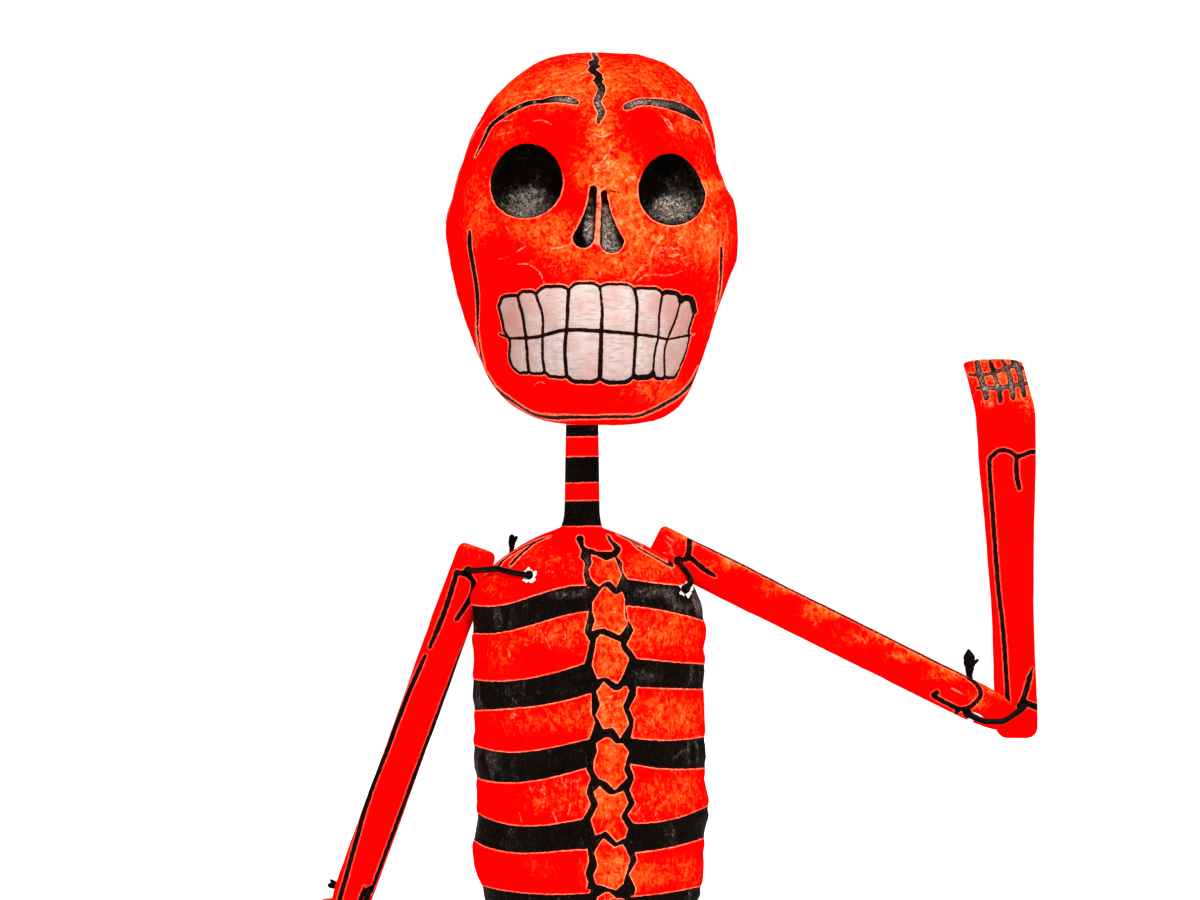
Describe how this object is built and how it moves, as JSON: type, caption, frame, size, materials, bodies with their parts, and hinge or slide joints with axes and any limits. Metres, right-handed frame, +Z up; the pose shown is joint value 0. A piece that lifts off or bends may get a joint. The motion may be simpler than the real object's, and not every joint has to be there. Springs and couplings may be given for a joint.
{
  "type": "papier-mache skeleton figure",
  "caption": "Red papier-mache skeleton figure for the day of the dead, standing on a low base with one forearm raised, its limbs tied on with wire.",
  "frame": {"origin": "centre of the base's flat underside", "axes": "+Z up through the figure, +X to the viewer's right, the figure faces -Y"},
  "size_m": [0.227, 0.12, 0.5983],
  "materials": {
    "skull_paint": "satin red paint with black lines and white teeth on papier-mache",
    "rib_paint": "satin red paint with black rib bands on papier-mache",
    "limb_paint": "satin red paint with black bone lines on rolled paper",
    "tie_wire": "black annealed wire",
    "base_wood": "brushed black paint"
  },
  "bodies": {
    "root": {"skull": "skull_paint", "torso": "rib_paint", "upper_arm_left": "limb_paint", "forearm_left": "limb_paint", "wire_shoulder_left": "tie_wire", "wire_elbow_left": "tie_wire", "upper_arm_right": "limb_paint", "forearm_right": "limb_paint", "wire_shoulder_right": "tie_wire", "wire_elbow_right": "tie_wire", "thigh_left": "limb_paint", "shin_left": "limb_paint", "wire_hip_left": "tie_wire", "wire_knee_left": "tie_wire", "thigh_right": "limb_paint", "shin_right": "limb_paint", "wire_hip_right": "tie_wire", "wire_knee_right": "tie_wire", "base": "base_wood"}
  },
  "joints": []
}
